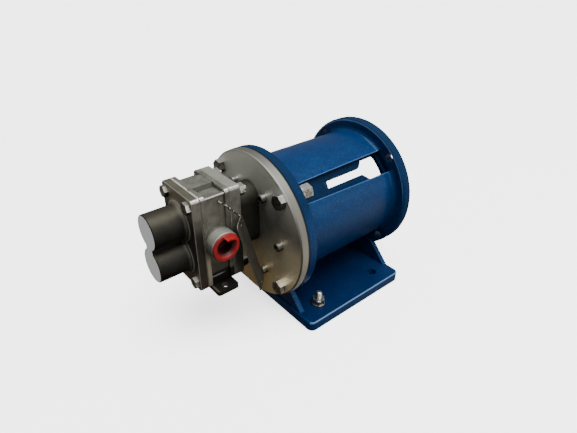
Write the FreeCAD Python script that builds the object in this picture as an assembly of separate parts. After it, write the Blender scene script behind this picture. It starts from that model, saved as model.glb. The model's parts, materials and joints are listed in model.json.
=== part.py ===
import FreeCAD, Part
import math
import os

os.makedirs("parts", exist_ok=True)

# Close-coupled external gear pump with a magnetic drive, on a cast pedestal for a motor with a C face.
# Millimetres. X runs along the drive shaft towards the motor, the pump's nose points along -X, Z is up.
# The origin is the middle of the four base holes, on the underside of the base.

V = FreeCAD.Vector
X_AXIS = V(1, 0, 0)
Y_AXIS = V(0, 1, 0)
Z_AXIS = V(0, 0, 1)

# How far cutting shapes run past the faces that they cut, and how close counts as the same place
overcut = 1.0
same_place = 1e-6
along = 0.99
diagonal = math.sqrt(0.5)

# Pedestal: shaft height, motor face and the two flanges
shaft_height = 101.6
motor_face_x = 81.5
pedestal_length = 160.0
motor_flange_radius = 82.55
motor_flange_thickness = 11.0
motor_bolt_circle = 149.2
motor_hole_radius = 5.35
register_radius = 57.2
register_depth = 12.0
tube_bore_radius = 56.5
ring_radius = 85.0
ring_thickness = 12.0
tube_radius = 68.5
tube_fillet = 5.0
flange_edge_round = 2.5

# Pedestal: base plate and the two webs under the flanges
base_length = 149.0
base_front_x = -75.5
base_half_width = 91.0
base_thickness = 12.0
base_corner_round = 7.0
base_edge_round = 2.0
base_hole_dx = 92.0
base_hole_dy = 140.0
base_hole_radius = 5.6
web_thickness = 6.0
web_foot_half_width = 71.0
web_top_half_width = 46.0
web_setback = 5.0
web_rear_lap = 3.0
web_top_lap = 4.0

# Pedestal: windows over the plate nuts, a shallow pocket with a keyhole slot in its floor
window_count = 4
window_first_angle = 45.0
pocket_floor = 61.0
pocket_half_width_front = 11.0
pocket_half_width_rear = 13.5
slot_half_width_narrow = 4.2
slot_half_width_wide = 12.2
slot_front_gap = 46.0
slot_step_gap = 114.0
slot_rear_gap = 5.5
slot_rear_lap = 2.0
slot_step_run = 7.5
slot_inner_reach = 30.0
window_reach = 4.0
window_corner_round = 2.0

# Adapter plate between pump and pedestal
plate_thickness = 9.5
plate_bevel_width = 1.5
plate_bevel_depth = 1.7
plate_bevel_rim = 0.3
plate_edge_break = 1.0
plate_shaft_hole_radius = 12.0

# Gears: twelve teeth, eight to the inch of pitch circle
teeth = 12
gear_module = 3.175
pressure_angle = 20.0
tooth_addendum = 2.95
tip_clearance = 0.6
backlash = 0.30
gear_width = 25.4
gear_end_play = 0.05
gear_tip_gap = 0.08
flank_steps = 5

# Shafts, bearings and wear plates
shaft_radius = 7.9375
bearing_radius = 11.5
bearing_length = 24.0
bearing_gap = 0.04
wear_plate_thickness = 3.0
wear_plate_gap = 0.05
wear_plate_hole_radius = 10.4
key_size = 4.76
key_length = 19.0
groove_depth = 0.6
ring_clip_thickness = 1.1
ring_clip_radius = 9.6
shaft_end_gap = 2.0
shaft_hole_gap = 1.0
shaft_end_chamfer = 0.7
clip_mouth_half_width = 2.5
drain_gap = 1.5

# Pump casing: cover, body and rear cover share one outline
casing_half_width = 29.0
casing_half_height = 52.0
casing_corner_round = 4.0
cover_thickness = 9.0
casing_edge_chamfer = 0.6
rear_cover_thickness = 12.0
neck_length = 30.5
neck_radius = 17.0
nose_length = 34.5
nose_radius = 18.0
nose_waist = 13.0
nose_flare = 6.0
nose_chamfer = 0.8
body_flange_thickness = 5.2
body_half_width = 26.6
body_top_inset = 4.2
body_low_inset = 1.5
body_flange_lap = 0.5
body_top_edge = 2.0
body_top_edge_height = 1.5
crown_inset = 0.6
pad_half_width = 9.5
pad_far_edge = 20.0
pad_far_slope = 2.0
pad_near_slope = 3.5
lip_width = 3.2
lip_drop = 2.4
lip_rise_slope = 1.2
lip_overhang = 1.2
lip_edge = 0.6
lip_face_height = 1.2

# Ports: half-inch pipe thread on both sides
port_radius = 9.6
port_depth = 18.0
port_passage_radius = 8.0
boss_radius = 15.6
boss_draft = 0.1
boss_reach = 41.5
boss_edge_chamfer = 0.8

# Feet cast under the body
foot_length = 25.0
foot_half_width = 41.5
foot_thickness = 5.0
foot_top = -32.0
foot_hole_radius = 3.3
foot_hole_y = 34.5
foot_corner_round = 3.0
keel_inset = 3.0

# Casing fasteners, seals and dowels
casing_bolt_y = 21.5
casing_bolt_z = 43.0
quarter_inch = 6.35
casing_hole_gap = 0.3
seal_inner_radius = 23.2
seal_width = 1.8
seal_depth = 1.8
dowel_radius = 2.5
dowel_length = 9.0
dowel_end_gap = 0.2
dowel_offset = 47.0

# Containment can, its screws and its seal
can_flange_thickness = 6.5
can_flange_gap = 0.3
can_radius = 37.0
can_wall = 1.6
can_length = 56.0
can_corner_chamfer = 6.0
can_screw_count = 6
can_screw_circle = 104.0
can_screw_end_gap = 0.5
can_seal_radius = 37.4
can_seal_width = 2.4
can_seal_depth = 2.2
socket_head_radius = 4.75
socket_head_height = 6.0
socket_radius = 2.75
socket_depth = 3.4
socket_edge_chamfer = 0.7

# Inner magnet rotor
hub_length = 38.0
hub_setback = 13.0
hub_radius = 27.0
magnet_thickness = 4.5
magnet_count = 8
magnet_spacing_deg = 4.0
sleeve_wall = 0.8
hub_rim_width = 3.0
hub_boss_radius = 13.0
hub_boss_length = 6.0
hub_bolt_radius = 3.0
hub_bolt_depth = 14.0
hub_end_setback = 0.5
hub_key_setback = 2.0
hub_washer_radius = 10.5
hub_washer_thickness = 2.0

# Plate fasteners: three-eighths inch
three_eighths = 9.525
plate_hole_gap = 0.35
plate_thread_end = 1.0
casing_thread_end = 2.5

# Hex proportions by inch size: width over flats, head height, nut height
hex_quarter = (11.1, 4.2, 5.6)
hex_three_eighths = (14.3, 6.2, 11.5)
hex_five_sixteenths = (12.7, 6.9)
five_sixteenths = 7.9375
base_stud_stand = 17.0
base_stud_chamfer = 0.9
base_stud_low = 1.0
washer_quarter = (6.4, 1.6)
washer_three_eighths = (8.7, 2.2)
base_washer = (7.6, 1.4)
hex_chamfer_share = 0.6

# How far each hexagon was left turned when it was tightened, in degrees
plate_bolt_turns = (12.0, 40.0, 25.0, 5.0)
casing_bolt_turns = (20.0, 8.0, 35.0, 50.0)
plate_nut_turn = 15.0
casing_nut_turn = 10.0
base_nut_turn = 20.0

# Neck screws, from inside the can into the rear cover
neck_screw_radius = 2.5
neck_screw_head_radius = 4.25
neck_screw_head_height = 5.0
neck_screw_sink = 0.3
neck_screw_depth = 12.0
neck_screw_end_gap = 1.0
neck_screw_y = 11.0
neck_screw_z = (14.0, 44.0)

# Red shipping plug in the near port
plug_gap = 0.03
plug_length = 12.0
plug_taper = 0.8
plug_wall = 1.3
plug_rim_radius = 14.9
plug_rim_thickness = 1.8
plug_rim_chamfer = 0.6
plug_mouth_radius = 11.4
plug_mouth_depth = 3.6
plug_tab_wall = 1.6
plug_tab_out = 8.0
plug_tab_inset = 0.2
plug_tab_span_deg = (48.0, 105.0)

# Metal tag on a twisted wire
tag_width = 21.5
tag_length = 88.5
tag_thickness = 0.8
tag_turn_deg = 43.0
tag_lean_deg = 13.5
tag_tilt_deg = 4.5
tag_y = -36.7
tag_top_x = -126.0
tag_top_z = 35.9
tag_hole_radius = 2.2
tag_hang_gap = 0.45
tag_hole_inset = 4.6
tag_end_round = 4.0
tag_small_hole_radius = 1.3
wire_radius = 1.1
hook_radius = 0.6
hook_bend = 2.0
hook_reach = 3.0
hook_tail = 3.0
pair_end_rise = 7.0
pair_out = 4.0
wire_start_x = -141.5
wire_start_z = 61.0
wire_bend = 3.0
wire_hole_depth = 1.6

# Stations along the shaft, worked out from the sizes above
ring_front_x = motor_face_x - pedestal_length
ring_rear_x = ring_front_x + ring_thickness
plate_front_x = ring_front_x - plate_thickness
neck_front_x = plate_front_x - neck_length
body_rear_x = neck_front_x - rear_cover_thickness
body_length = gear_width + 2 * (wear_plate_thickness + gear_end_play)
body_front_x = body_rear_x - body_length
cover_front_x = body_front_x - cover_thickness
nose_tip_x = cover_front_x - nose_length
gear_front_x = body_front_x + wear_plate_thickness + gear_end_play
gear_rear_x = gear_front_x + gear_width
body_middle_x = body_front_x + body_length / 2

# Heights and radii that follow from the gears
centre_distance = teeth * gear_module
pitch_radius = centre_distance / 2
tip_radius = pitch_radius + tooth_addendum
root_radius = centre_distance - tip_radius - tip_clearance
drive_z = shaft_height
idler_z = drive_z + centre_distance
casing_z = drive_z + pitch_radius
gear_bore_radius = tip_radius + gear_tip_gap
bolt_circle_radius = motor_bolt_circle / 2
wear_plate_radius = gear_bore_radius - wear_plate_gap


def cyl_x(radius, x0, x1, y=0.0, z=drive_z):
    """A cylinder along X from x0 to x1."""
    return Part.makeCylinder(radius, x1 - x0, V(x0, y, z), X_AXIS)


def cyl_y(radius, y0, y1, x, z):
    """A cylinder along Y from y0 to y1."""
    return Part.makeCylinder(radius, y1 - y0, V(x, y0, z), Y_AXIS)


def holes_x(radius, x0, x1, places):
    """Cutting cylinders along X at several places (y, z), each running past both ends."""
    return [cyl_x(radius, x0 - overcut, x1 + overcut, y, z) for y, z in places]


def block(x0, x1, y0, y1, z0, z1):
    """A box between two corners."""
    return Part.makeBox(x1 - x0, y1 - y0, z1 - z0, V(x0, y0, z0))


def polygon_face(points):
    """A flat face with straight sides."""
    return Part.Face(Part.makePolygon(points + [points[0]]))


def fused(solids):
    """One solid from several that touch or overlap."""
    first = solids[0]
    if len(solids) > 1:
        first = first.fuse(solids[1:])
    return first.removeSplitter()


def rounded_rectangle_face(x, y0, y1, z0, z1, radius):
    """A rectangle with round corners in the plane at x."""
    points = [V(x, y0, z0), V(x, y1, z0), V(x, y1, z1), V(x, y0, z1)]
    solid = polygon_face(points).extrude(V(1, 0, 0))
    edges = [e for e in solid.Edges if abs(e.tangentAt(e.FirstParameter).x) > along]
    solid = solid.makeFillet(radius, edges)
    for face in solid.Faces:
        if abs(face.CenterOfMass.x - x) < same_place:
            return face
    return None


def obround_x(radius, x0, x1, z_low=drive_z, z_high=idler_z):
    """Two cylinders about the shafts, joined by straight sides."""
    low = V(x0, 0, z_low)
    high = V(x0, 0, z_high)
    side = V(0, radius, 0)
    edges = [
        Part.LineSegment(low + side, high + side).toShape(),
        Part.Arc(high + side, high + V(0, 0, radius), high - side).toShape(),
        Part.LineSegment(high - side, low - side).toShape(),
        Part.Arc(low - side, low - V(0, 0, radius), low + side).toShape(),
    ]
    return Part.Face(Part.Wire(edges)).extrude(V(x1 - x0, 0, 0))


def revolved_x(points, y=0.0, z=drive_z):
    """Turn an outline about the X direction. Each point is (x, radius), or (x, radius, bulge point)."""
    edges = []
    count = len(points)
    for k in range(count):
        here = points[k]
        there = points[(k + 1) % count]
        a = V(here[0], y, z + here[1])
        b = V(there[0], y, z + there[1])
        if len(here) > 2:
            middle = V(here[2][0], y, z + here[2][1])
            edges.append(Part.Arc(a, middle, b).toShape())
        else:
            edges.append(Part.LineSegment(a, b).toShape())
    face = Part.Face(Part.Wire(edges))
    return face.revolve(V(0, y, z), X_AXIS, 360)


def hex_prism_x(flats, x0, x1, y, z, turn=0.0):
    """A hexagon along X, its corners cut back by a cone at the x0 end."""
    corner = flats / math.sqrt(3)
    points = []
    for k in range(6):
        angle = math.radians(turn + 60 * k)
        points.append(V(x0, y + corner * math.cos(angle), z + corner * math.sin(angle)))
    prism = polygon_face(points).extrude(V(x1 - x0, 0, 0))
    chamfer = (corner - flats / 2) * hex_chamfer_share
    rim = flats / 2
    outline = [(x0, 0.0), (x0, rim), (x0 + chamfer, corner + overcut), (x1, corner + overcut), (x1, 0.0)]
    return prism.common(revolved_x(outline, y, z))


def nut_x(flats, x0, x1, y, z, hole_radius, turn=0.0):
    """A hexagon nut along X, its free end at x1."""
    corner = flats / math.sqrt(3)
    points = []
    for k in range(6):
        angle = math.radians(turn + 60 * k)
        points.append(V(x0, y + corner * math.cos(angle), z + corner * math.sin(angle)))
    prism = polygon_face(points).extrude(V(x1 - x0, 0, 0))
    chamfer = (corner - flats / 2) * hex_chamfer_share
    outline = [(x0, hole_radius), (x0, corner + overcut), (x1 - chamfer, corner + overcut),
               (x1, flats / 2), (x1, hole_radius)]
    return prism.common(revolved_x(outline, y, z))


def ring_x(outer, inner, x0, x1, y=0.0, z=drive_z):
    """A flat ring about the X direction."""
    return cyl_x(outer, x0, x1, y, z).cut(cyl_x(inner, x0, x1, y, z))


def circle_points(radius, count, first_deg, z=drive_z):
    """Places (y, z) spaced evenly on a circle about the drive shaft."""
    places = []
    for k in range(count):
        angle = math.radians(first_deg + 360.0 * k / count)
        places.append((radius * math.cos(angle), z + radius * math.sin(angle)))
    return places


plate_bolt_places = circle_points(bolt_circle_radius, 4, 45.0)
can_screw_places = circle_points(can_screw_circle / 2, can_screw_count, 0.0)
casing_bolt_places = [(sy * casing_bolt_y, casing_z + sz * casing_bolt_z)
                      for sy in (-1, 1) for sz in (-1, 1)]
dowel_places = [(0.0, casing_z + side * dowel_offset) for side in (-1, 1)]
base_bolt_places = [(sx * base_hole_dx / 2, sy * base_hole_dy / 2) for sx in (-1, 1) for sy in (-1, 1)]
neck_screw_places = [(side * neck_screw_y, drive_z + height) for side in (-1, 1) for height in neck_screw_z]


def window_cutter(angle_deg):
    """The pocket and the keyhole slot of one window, cut inwards along the given direction."""
    reach = ring_radius + window_reach
    pocket_front = ring_rear_x
    pocket_rear = motor_face_x - motor_flange_thickness
    slot_front = ring_front_x + slot_front_gap + ring_thickness
    slot_step = ring_front_x + slot_step_gap
    slot_rear = pocket_rear - slot_rear_gap + slot_rear_lap
    wf = pocket_half_width_front
    wr = pocket_half_width_rear
    wn = slot_half_width_narrow
    ww = slot_half_width_wide
    level = pocket_floor
    pocket = polygon_face([V(pocket_front, -wf, level), V(pocket_rear, -wr, level),
                           V(pocket_rear, wr, level), V(pocket_front, wf, level)])
    pocket = pocket.extrude(V(0, 0, reach - level))
    low = slot_inner_reach
    slot_wide = slot_step + slot_step_run
    slot = polygon_face([V(slot_front, -wn, low), V(slot_step, -wn, low), V(slot_wide, -ww, low),
                         V(slot_rear, -ww, low), V(slot_rear, ww, low), V(slot_wide, ww, low),
                         V(slot_step, wn, low), V(slot_front, wn, low)])
    slot = slot.extrude(V(0, 0, level + overcut - low))
    upright = [e for e in slot.Edges if abs(e.tangentAt(e.FirstParameter).z) > along]
    slot = slot.makeFillet(window_corner_round, upright)
    cutter = pocket.fuse(slot)
    cutter.rotate(V(0, 0, 0), X_AXIS, angle_deg - 90.0)
    cutter.translate(V(0, 0, drive_z))
    return cutter


def make_pedestal():
    """Cast pedestal: tube between two flanges, on two webs and a base plate."""
    f = tube_fillet
    r = flange_edge_round
    s = diagonal
    flange_front = motor_face_x - motor_flange_thickness
    outline = [
        (ring_front_x, tube_bore_radius),
        (ring_front_x, ring_radius),
        (ring_rear_x - r, ring_radius, (ring_rear_x - r + r * s, ring_radius - r + r * s)),
        (ring_rear_x, ring_radius - r),
        (ring_rear_x, tube_radius + f, (ring_rear_x + f - f * s, tube_radius + f - f * s)),
        (ring_rear_x + f, tube_radius),
        (flange_front - f, tube_radius, (flange_front - f + f * s, tube_radius + f - f * s)),
        (flange_front, tube_radius + f),
        (flange_front, motor_flange_radius - r,
         (flange_front + r - r * s, motor_flange_radius - r + r * s)),
        (flange_front + r, motor_flange_radius),
        (motor_face_x, motor_flange_radius),
        (motor_face_x, tube_bore_radius),
    ]
    tube = revolved_x(outline)
    base_rear_x = base_front_x + base_length
    base = block(base_front_x, base_rear_x, -base_half_width, base_half_width, 0, base_thickness)
    corners = [e for e in base.Edges if abs(e.tangentAt(e.FirstParameter).z) > along]
    base = base.makeFillet(base_corner_round, corners)
    rim = [e for e in base.Edges if abs(e.CenterOfMass.z - base_thickness) < same_place]
    base = base.makeFillet(base_edge_round, rim)
    web_top = drive_z - tube_radius + web_top_lap
    webs = []
    for x0 in (ring_front_x + web_setback, flange_front - web_thickness + web_rear_lap):
        points = [
            V(x0, -web_foot_half_width, base_thickness - overcut),
            V(x0, web_foot_half_width, base_thickness - overcut),
            V(x0, web_top_half_width, web_top),
            V(x0, -web_top_half_width, web_top),
        ]
        webs.append(polygon_face(points).extrude(V(web_thickness, 0, 0)))
    bore = cyl_x(tube_bore_radius, ring_front_x - overcut, motor_face_x + overcut)
    register = cyl_x(register_radius, motor_face_x - register_depth, motor_face_x + overcut)
    body = fused([tube, base] + webs).cut([bore, register])
    for k in range(window_count):
        body = body.cut(window_cutter(window_first_angle + 360.0 * k / window_count))
    holes = holes_x(three_eighths / 2 + plate_hole_gap, ring_front_x, ring_rear_x, plate_bolt_places)
    holes += holes_x(motor_hole_radius, flange_front, motor_face_x, plate_bolt_places)
    for x, y in base_bolt_places:
        holes.append(Part.makeCylinder(base_hole_radius, base_thickness + 2 * overcut, V(x, y, -overcut)))
    return body.cut(holes)


def make_adapter_plate():
    """Stainless disc with a narrow bevel that joins the pump to the pedestal."""
    outline = [
        (plate_front_x, plate_shaft_hole_radius),
        (plate_front_x, ring_radius - plate_bevel_width),
        (plate_front_x + plate_bevel_depth, ring_radius - plate_bevel_rim),
        (ring_front_x - plate_edge_break, ring_radius),
        (ring_front_x, ring_radius),
        (ring_front_x, plate_shaft_hole_radius),
    ]
    plate = revolved_x(outline)
    past_ring = ring_front_x + overcut
    cuts = holes_x(three_eighths / 2 + plate_hole_gap, plate_front_x, ring_front_x, plate_bolt_places)
    cuts += holes_x(quarter_inch / 2 + casing_hole_gap, plate_front_x, ring_front_x, can_screw_places)
    cuts += holes_x(neck_screw_radius + casing_hole_gap, plate_front_x, ring_front_x, neck_screw_places)
    for y, z in neck_screw_places:
        head_seat_x = ring_front_x - neck_screw_head_height - neck_screw_sink
        cuts.append(cyl_x(neck_screw_head_radius + casing_hole_gap, head_seat_x, past_ring, y, z))
    groove_front_x = ring_front_x - can_seal_depth
    cuts.append(ring_x(can_seal_radius + can_seal_width, can_seal_radius, groove_front_x, past_ring))
    return plate.cut(cuts)


def casing_outline(x0, x1):
    """The rounded rectangle that cover, body flanges and rear cover share, its edges broken at both ends."""
    face = rounded_rectangle_face(x0, -casing_half_width, casing_half_width, casing_z - casing_half_height,
                                  casing_z + casing_half_height, casing_corner_round)
    slab = face.extrude(V(x1 - x0, 0, 0))
    ends = [e for e in slab.Edges for x in (x0, x1) if abs(e.CenterOfMass.x - x) < same_place]
    return slab.makeChamfer(casing_edge_chamfer, ends)


def casing_holes(x0, x1):
    """Through holes for the four casing bolts."""
    return holes_x(quarter_inch / 2 + casing_hole_gap, x0, x1, casing_bolt_places)


def dowel_holes(x_joint):
    """Holes for the two dowels that cross one joint face."""
    half = dowel_length / 2
    return [cyl_x(dowel_radius, x_joint - half, x_joint + half, y, z) for y, z in dowel_places]


def seal_groove(x0, x1):
    """A band that runs round both gear bores."""
    return obround_x(seal_inner_radius + seal_width, x0, x1).cut(obround_x(seal_inner_radius, x0, x1))


def nose_form():
    """Two barrels side by side with a narrow waist, flared where they leave the cover plate."""
    f = nose_flare
    s = diagonal
    barrels = []
    for z in (drive_z, idler_z):
        outline = [
            (nose_tip_x, 0.0),
            (nose_tip_x, nose_radius - nose_chamfer),
            (nose_tip_x + nose_chamfer, nose_radius),
            (cover_front_x - f, nose_radius, (cover_front_x - f + f * s, nose_radius + f - f * s)),
            (cover_front_x, nose_radius + f),
            (cover_front_x + overcut, nose_radius + f),
            (cover_front_x + overcut, 0.0),
        ]
        barrels.append(revolved_x(outline, 0.0, z))
    half = nose_waist / 2
    waist = block(nose_tip_x, cover_front_x + overcut, -half, half, drive_z, idler_z)
    return fused(barrels + [waist])


def make_front_cover():
    """Front cover plate with the figure-eight nose that houses the front bearings."""
    cover = fused([casing_outline(cover_front_x, body_front_x), nose_form()])
    cuts = casing_holes(cover_front_x, body_front_x) + dowel_holes(body_front_x)
    cuts.append(seal_groove(body_front_x - seal_depth, body_front_x + overcut))
    for z in (drive_z, idler_z):
        cuts.append(cyl_x(bearing_radius, body_front_x - bearing_length, body_front_x + overcut, 0, z))
        hole_end = body_front_x - bearing_length - shaft_end_gap - overcut
        cuts.append(cyl_x(shaft_radius + shaft_hole_gap, hole_end, body_front_x, 0, z))
    return cover.cut(cuts)


def make_pump_body():
    """Pump body: gear bores, flanges at both ends, a port boss on each side and feet below."""
    front_flange = casing_outline(body_front_x, body_front_x + body_flange_thickness)
    rear_flange = casing_outline(body_rear_x - body_flange_thickness, body_rear_x)
    x0 = body_front_x + body_flange_thickness - body_flange_lap
    x1 = body_rear_x - body_flange_thickness + body_flange_lap
    low = casing_z - casing_half_height + body_low_inset
    shoulder = casing_z + casing_half_height - body_top_inset
    crown = casing_z + casing_half_height - crown_inset
    lip = shoulder + body_top_inset - lip_drop
    w = body_half_width
    section = [
        V(x0, -w, low), V(x0, w, low), V(x0, w, shoulder - body_top_edge_height),
        V(x0, w - body_top_edge, shoulder), V(x0, pad_far_edge - pad_far_slope, shoulder),
        V(x0, pad_far_edge - 2 * pad_far_slope, crown), V(x0, -pad_half_width + pad_near_slope, crown),
        V(x0, -pad_half_width, shoulder), V(x0, -w + lip_width, shoulder),
        V(x0, -w + lip_width - lip_rise_slope, lip), V(x0, -w - lip_edge, lip),
        V(x0, -w - lip_overhang, lip - lip_overhang + lip_edge / 3),
        V(x0, -w - lip_overhang, lip - lip_overhang + lip_edge / 3 - lip_face_height),
        V(x0, -w, lip - 2 * lip_overhang + lip_edge / 3 - lip_face_height),
    ]
    core = polygon_face(section).extrude(V(x1 - x0, 0, 0))
    bosses = []
    for side in (-1, 1):
        centre = V(body_middle_x, 0, casing_z)
        boss = Part.makeCone(boss_radius + boss_draft, boss_radius, boss_reach, centre, V(0, side, 0))
        rim = [e for e in boss.Edges if abs(abs(e.CenterOfMass.y) - boss_reach) < same_place and e.Closed]
        bosses.append(boss.makeChamfer(boss_edge_chamfer, rim))
    foot_low = drive_z + foot_top - foot_thickness
    foot_front_x = body_middle_x - foot_length / 2
    foot = block(foot_front_x, foot_front_x + foot_length, -foot_half_width, foot_half_width,
                 foot_low, foot_low + foot_thickness)
    corners = [e for e in foot.Edges if abs(e.tangentAt(e.FirstParameter).z) > along]
    foot = foot.makeFillet(foot_corner_round, corners)
    keel = block(x0, x1, -w + keel_inset, w - keel_inset, foot_low, low + overcut)
    body = fused([front_flange, rear_flange, core, foot, keel] + bosses)
    cuts = casing_holes(body_front_x, body_rear_x)
    cuts += dowel_holes(body_front_x) + dowel_holes(body_rear_x)
    for z in (drive_z, idler_z):
        cuts.append(cyl_x(gear_bore_radius, body_front_x - overcut, body_rear_x + overcut, 0, z))
    for side in (-1, 1):
        outward = V(0, side, 0)
        inner_end = V(body_middle_x, side * (boss_reach - port_depth), casing_z)
        cuts.append(Part.makeCylinder(port_radius, port_depth, inner_end, outward))
        middle = V(body_middle_x, 0, casing_z)
        cuts.append(Part.makeCylinder(port_passage_radius, boss_reach, middle, outward))
        cuts.append(Part.makeCylinder(foot_hole_radius, foot_thickness + 2 * overcut,
                                      V(body_middle_x, side * foot_hole_y, foot_low - overcut)))
    wire_z = drive_z + wire_start_z
    cuts.append(cyl_y(wire_radius, -w - 2 * overcut, -w + wire_hole_depth, wire_start_x, wire_z))
    return body.cut(cuts)


def make_rear_cover():
    """Rear cover plate with the neck that holds the rear bearings and meets the adapter plate."""
    neck = obround_x(neck_radius, neck_front_x - overcut, plate_front_x)
    cover = fused([casing_outline(body_rear_x, neck_front_x), neck])
    cuts = casing_holes(body_rear_x, neck_front_x) + dowel_holes(body_rear_x)
    cuts.append(seal_groove(body_rear_x - overcut, body_rear_x + seal_depth))
    for z in (drive_z, idler_z):
        cuts.append(cyl_x(bearing_radius, body_rear_x - overcut, body_rear_x + bearing_length, 0, z))
    cuts.append(cyl_x(shaft_radius + drain_gap, body_rear_x, plate_front_x + overcut))
    idler_hole_end = body_rear_x + bearing_length + shaft_end_gap + overcut
    cuts.append(cyl_x(shaft_radius + shaft_hole_gap, body_rear_x, idler_hole_end, 0, idler_z))
    for y, z in neck_screw_places:
        thread_end_x = plate_front_x - neck_screw_depth
        cuts.append(cyl_x(neck_screw_radius, thread_end_x, plate_front_x + overcut, y, z))
    return cover.cut(cuts)


def involute_half_angle(radius, half_at_pitch):
    """Half the angle that a tooth spans at a radius, in radians."""
    phi_pitch = math.radians(pressure_angle)
    base = pitch_radius * math.cos(phi_pitch)
    phi = math.acos(min(1.0, base / radius))
    return half_at_pitch + (math.tan(phi_pitch) - phi_pitch) - (math.tan(phi) - phi)


def make_gear(z_axis, first_tooth_deg):
    """Involute spur gear with a keyway, its teeth spaced from the given direction."""
    base = pitch_radius * math.cos(math.radians(pressure_angle))
    half_at_pitch = math.pi / (2 * teeth) - backlash / (4 * pitch_radius)
    radii = [base + (tip_radius - base) * k / flank_steps for k in range(flank_steps + 1)]
    edges = []
    previous_end = None
    first_start = None
    for k in range(teeth):
        centre = math.radians(first_tooth_deg + 360.0 * k / teeth)

        def at(radius, angle):
            return V(gear_front_x, radius * math.cos(angle), z_axis + radius * math.sin(angle))

        half_base = involute_half_angle(base, half_at_pitch)
        rising = [at(r, centre - involute_half_angle(r, half_at_pitch)) for r in radii]
        falling = [at(r, centre + involute_half_angle(r, half_at_pitch)) for r in reversed(radii)]
        root_in = at(root_radius, centre - half_base)
        root_out = at(root_radius, centre + half_base)
        if previous_end is not None:
            middle = at(root_radius, centre - math.pi / teeth)
            edges.append(Part.Arc(previous_end, middle, root_in).toShape())
        else:
            first_start = root_in
        edges.append(Part.LineSegment(root_in, rising[0]).toShape())
        flank = Part.BSplineCurve()
        flank.interpolate(rising)
        edges.append(flank.toShape())
        edges.append(Part.Arc(rising[-1], at(tip_radius, centre), falling[0]).toShape())
        flank = Part.BSplineCurve()
        flank.interpolate(falling)
        edges.append(flank.toShape())
        edges.append(Part.LineSegment(falling[-1], root_out).toShape())
        previous_end = root_out
    closing = math.radians(first_tooth_deg - 180.0 / teeth)
    middle = V(gear_front_x, root_radius * math.cos(closing), z_axis + root_radius * math.sin(closing))
    edges.append(Part.Arc(previous_end, middle, first_start).toShape())
    gear = Part.Face(Part.Wire(edges)).extrude(V(gear_width, 0, 0))
    bore = cyl_x(shaft_radius, gear_front_x - overcut, gear_rear_x + overcut, 0, z_axis)
    keyway = block(gear_front_x - overcut, gear_rear_x + overcut, 0, shaft_radius + key_size / 2,
                   z_axis - key_size / 2, z_axis + key_size / 2)
    return gear.cut([bore, keyway])


def gear_key(z_axis):
    """Square key half in the shaft and half in the gear."""
    middle = (gear_front_x + gear_rear_x) / 2
    return block(middle - key_length / 2, middle + key_length / 2, shaft_radius - key_size / 2,
                 shaft_radius + key_size / 2, z_axis - key_size / 2, z_axis + key_size / 2)


def clip_places():
    """Start of each retaining ring, one against each gear face."""
    return (gear_front_x - ring_clip_thickness, gear_rear_x)


def retaining_clips(z_axis):
    """Two open rings that hold a gear along its shaft."""
    clips = []
    for x in clip_places():
        clip = ring_x(ring_clip_radius, shaft_radius - groove_depth, x, x + ring_clip_thickness, 0, z_axis)
        x1 = x + ring_clip_thickness
        half = clip_mouth_half_width
        mouth = block(x - overcut, x1 + overcut, -half, half, z_axis - ring_clip_radius - overcut, z_axis)
        clips.append(clip.cut(mouth))
    return Part.makeCompound(clips)


def grooves(z_axis):
    """Ring grooves in a shaft."""
    floor = shaft_radius - groove_depth
    return [ring_x(shaft_radius + overcut, floor, x, x + ring_clip_thickness, 0, z_axis)
            for x in clip_places()]


hub_front_x = ring_front_x + hub_setback
hub_rear_x = hub_front_x + hub_length
drive_shaft_front_x = body_front_x - bearing_length - shaft_end_gap
idler_shaft_rear_x = body_rear_x + bearing_length + shaft_end_gap - hub_end_setback
hub_key_front_x = hub_front_x + hub_key_setback


def make_drive_shaft():
    """Drive shaft from the front bearing to the inner magnet hub."""
    shaft = cyl_x(shaft_radius, drive_shaft_front_x, hub_rear_x - hub_end_setback)
    ends = [e for e in shaft.Edges if e.Closed]
    shaft = shaft.makeChamfer(shaft_end_chamfer, ends)
    cuts = grooves(drive_z) + [gear_key(drive_z), hub_key_block()]
    cuts.append(cyl_x(hub_bolt_radius, hub_rear_x - hub_end_setback - hub_bolt_depth, hub_rear_x + overcut))
    return shaft.cut(cuts)


def make_idler_shaft():
    """Idler shaft between the two idler bearings."""
    shaft = cyl_x(shaft_radius, drive_shaft_front_x, idler_shaft_rear_x, 0, idler_z)
    ends = [e for e in shaft.Edges if e.Closed]
    shaft = shaft.makeChamfer(shaft_end_chamfer, ends)
    return shaft.cut(grooves(idler_z) + [gear_key(idler_z)])


def hub_key_block():
    """Square key under the magnet hub."""
    return block(hub_key_front_x, hub_key_front_x + key_length, shaft_radius - key_size / 2,
                 shaft_radius + key_size / 2, drive_z - key_size / 2, drive_z + key_size / 2)


def make_magnet_hub():
    """Hub that carries the inner magnets, with a rim at each end."""
    rim = hub_radius + magnet_thickness
    outline = [
        (hub_front_x - hub_boss_length, shaft_radius),
        (hub_front_x - hub_boss_length, hub_boss_radius),
        (hub_front_x, hub_boss_radius),
        (hub_front_x, rim),
        (hub_front_x + hub_rim_width, rim),
        (hub_front_x + hub_rim_width, hub_radius),
        (hub_rear_x - hub_rim_width, hub_radius),
        (hub_rear_x - hub_rim_width, rim),
        (hub_rear_x, rim),
        (hub_rear_x, shaft_radius),
    ]
    keyway = block(hub_front_x - hub_boss_length - overcut, hub_rear_x + overcut, 0,
                   shaft_radius + key_size / 2, drive_z - key_size / 2, drive_z + key_size / 2)
    return revolved_x(outline).cut(keyway)


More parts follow.
